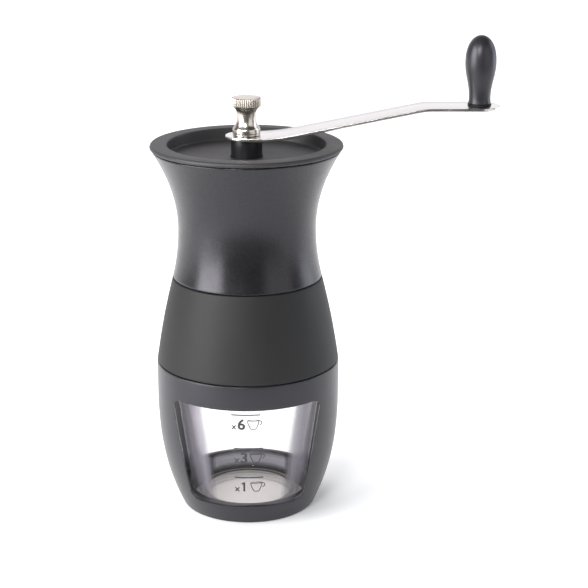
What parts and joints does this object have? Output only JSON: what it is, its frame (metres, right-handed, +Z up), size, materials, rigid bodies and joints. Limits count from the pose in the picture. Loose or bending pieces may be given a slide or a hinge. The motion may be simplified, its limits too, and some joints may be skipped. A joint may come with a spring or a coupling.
{
  "type": "hand crank coffee grinder",
  "caption": "Hourglass hand coffee grinder: crank with spinning knob, lidded hopper, adjustable conical burrs and a clear jar seen through windows in its base.",
  "frame": {"origin": "centre of the jar's underside, on the surface that the grinder stands on", "axes": "+Z up along the shaft, +X along the crank arm towards the knob, the front window faces -Y"},
  "size_m": [0.1619, 0.09, 0.2271],
  "materials": {
    "casing": "satin black",
    "lid_plastic": "satin black",
    "knob_plastic": "satin black",
    "grip": "matte",
    "seal": "matte",
    "clear_plastic": "clear",
    "bright_steel": "polished",
    "steel": "machined",
    "nickel": "nickel plated",
    "ceramic": "ground",
    "nylon": "moulded",
    "brass": "turned"
  },
  "bodies": {
    "receptacle": {"base_frame": "casing", "jar": "clear_plastic"},
    "housing": {"upper_shell": "casing", "grip_sleeve": "grip", "seal_ring": "seal", "hopper": "casing", "upper_bush": "nylon", "lower_bush": "nylon", "burr_carrier": "casing", "carrier_screw_1": "steel", "carrier_screw_2": "steel", "carrier_screw_3": "steel", "clamp_screw_1": "steel", "clamp_screw_2": "steel", "clamp_screw_3": "steel", "burr_clamp_ring": "casing", "outer_burr": "ceramic"},
    "drive": {"drive_shaft": "steel", "shaft_clip": "steel", "shaft_collar": "casing", "thrust_washer": "steel", "spring": "steel"},
    "burr_set": {"inner_burr": "ceramic", "burr_driver": "nylon", "spring_washer": "steel"},
    "adjuster": {"adjuster_wheel": "casing", "adjuster_nut": "brass"},
    "lid_body": {"lid": "lid_plastic"},
    "crank": {"crank_arm": "bright_steel", "crank_nut": "nickel", "nut_washer": "nickel", "knob_pin": "bright_steel", "knob_washer": "grip"},
    "knob_body": {"knob": "knob_plastic"}
  },
  "joints": [
    {"name": "housing_lift", "type": "slide", "parent": "receptacle", "child": "housing", "axis": [0, 0, 1], "range_m": [0, 0.06]},
    {"name": "crank_turn", "type": "hinge", "parent": "housing", "child": "drive", "pos_m": [0, 0, 0.12], "axis": [0, 0, 1], "continuous": true},
    {"name": "burr_travel", "type": "slide", "parent": "drive", "child": "burr_set", "axis": [0, 0, -1], "range_m": [0, 0.0012], "deforming": ["spring"]},
    {"name": "adjust_turn", "type": "hinge", "parent": "burr_set", "child": "adjuster", "pos_m": [0, 0, 0.09], "axis": [0, 0, -1], "range_deg": [0, 540]},
    {"name": "lid_lift", "type": "slide", "parent": "housing", "child": "lid_body", "axis": [0, 0, 1], "range_m": [0, 0.03]},
    {"name": "crank_lift", "type": "slide", "parent": "drive", "child": "crank", "axis": [0, 0, 1], "range_m": [0, 0.06]},
    {"name": "knob_spin", "type": "hinge", "parent": "crank", "child": "knob_body", "pos_m": [0.1071, 0, 0.2], "axis": [0, 0, 1], "continuous": true}
  ],
  "couplings": [
    {"joint": "burr_travel", "follows": "adjust_turn", "m_per_rad": 0.00012732},
    {"joint": "lid_lift", "follows": "crank_lift", "ratio": 0.5}
  ]
}
